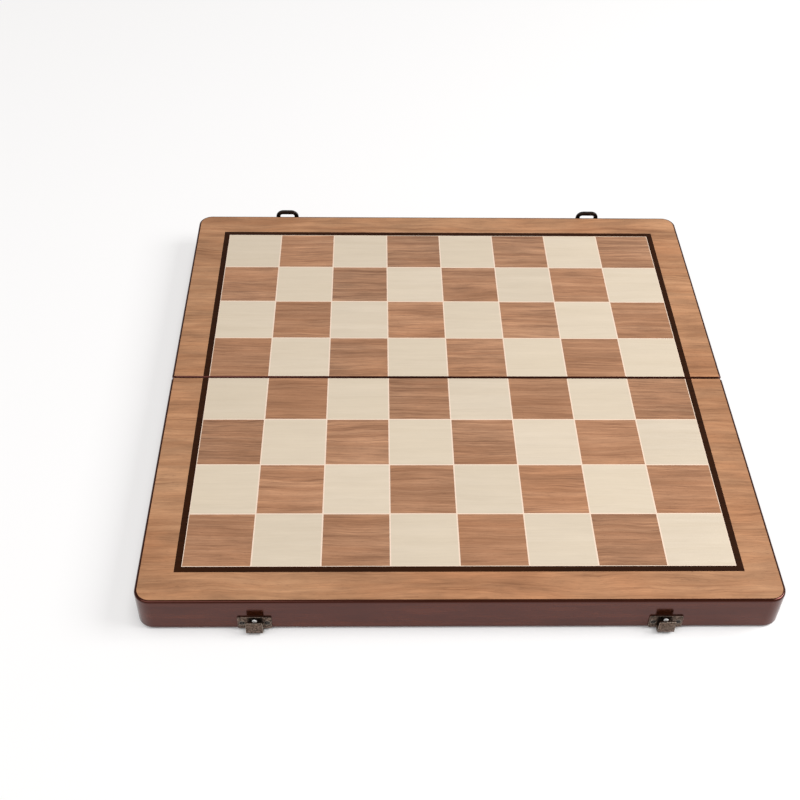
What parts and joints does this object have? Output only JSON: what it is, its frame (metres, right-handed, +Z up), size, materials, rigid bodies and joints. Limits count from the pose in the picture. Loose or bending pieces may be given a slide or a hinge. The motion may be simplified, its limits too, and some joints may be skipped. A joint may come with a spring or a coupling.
{
  "type": "folding chess board",
  "caption": "Folding wooden chess board that shuts into a case for its men, with hinged trays, an inlaid playing surface and toggle latches on the walls.",
  "frame": {"origin": "under the middle of the seam between the halves, level with the lowest point of the hinge knuckles", "axes": "X along the seam, +Y from the front half with the catches to the back half with the toggle latches, +Z up out of the playing surface"},
  "size_m": [0.381, 0.391, 0.03],
  "materials": {
    "stained_wood": "dark reddish brown stain under satin lacquer",
    "walnut_border": "walnut veneer, satin",
    "walnut_squares": "walnut veneer, satin",
    "pale_squares": "pale maple veneer, satin",
    "black_inlay": "black-brown veneer line, satin",
    "light_inlay": "pale stringing, satin",
    "felt": "green wool felt",
    "latch_metal": "antique bronze plating, worn to grey on the edges",
    "loop_metal": "blackened bronze plating",
    "latch_screws": "darkened steel",
    "bright_nails": "bright steel",
    "hinge_metal": "plain brass, slightly dull"
  },
  "bodies": {
    "front_half": {"front_outer_rail": "stained_wood", "front_seam_rail": "stained_wood", "front_left_rail": "stained_wood", "front_right_rail": "stained_wood", "front_top_panel": "stained_wood", "front_divider": "stained_wood", "front_border_veneer": "walnut_border", "front_black_line": "black_inlay", "front_light_line": "light_inlay", "front_dark_squares": "walnut_squares", "front_light_squares": "pale_squares", "front_felt": "felt", "front_hinge_screws": "hinge_metal", "front_plate_screws": "latch_screws", "catch_nails": "bright_nails", "left_hinge_front_leaf": "hinge_metal", "left_hinge_pin": "hinge_metal", "left_catch": "latch_metal", "right_hinge_front_leaf": "hinge_metal", "right_hinge_pin": "hinge_metal", "right_catch": "latch_metal"},
    "back_half": {"back_outer_rail": "stained_wood", "back_seam_rail": "stained_wood", "back_left_rail": "stained_wood", "back_right_rail": "stained_wood", "back_top_panel": "stained_wood", "back_divider": "stained_wood", "back_border_veneer": "walnut_border", "back_black_line": "black_inlay", "back_light_line": "light_inlay", "back_dark_squares": "walnut_squares", "back_light_squares": "pale_squares", "back_felt": "felt", "back_hinge_screws": "hinge_metal", "back_plate_screws": "latch_screws", "left_hinge_back_leaf": "hinge_metal", "left_latch_base": "latch_metal", "left_lever_pin": "latch_screws", "right_hinge_back_leaf": "hinge_metal", "right_latch_base": "latch_metal", "right_lever_pin": "latch_screws"},
    "left_latch_lever": {"left_latch_lever": "latch_metal", "left_loop_pin": "latch_screws"},
    "right_latch_lever": {"right_latch_lever": "latch_metal", "right_loop_pin": "latch_screws"},
    "left_latch_loop": {"left_latch_loop": "loop_metal"},
    "right_latch_loop": {"right_latch_loop": "loop_metal"}
  },
  "joints": [
    {"name": "board_fold", "type": "hinge", "parent": "front_half", "child": "back_half", "pos_m": [0, 0, 0.0012], "axis": [-1, 0, 0], "range_deg": [0, 180]},
    {"name": "left_lever_swing", "type": "hinge", "parent": "back_half", "child": "left_latch_lever", "pos_m": [-0.121, 0.1941, 0.0079], "axis": [-1, 0, 0], "range_deg": [0, 165]},
    {"name": "left_loop_swing", "type": "hinge", "parent": "left_latch_lever", "child": "left_latch_loop", "pos_m": [-0.121, 0.1936, 0.0129], "axis": [-1, 0, 0], "range_deg": [0, 187]},
    {"name": "right_lever_swing", "type": "hinge", "parent": "back_half", "child": "right_latch_lever", "pos_m": [0.121, 0.1941, 0.0079], "axis": [-1, 0, 0], "range_deg": [0, 165]},
    {"name": "right_loop_swing", "type": "hinge", "parent": "right_latch_lever", "child": "right_latch_loop", "pos_m": [0.121, 0.1936, 0.0129], "axis": [-1, 0, 0], "range_deg": [0, 187]}
  ]
}
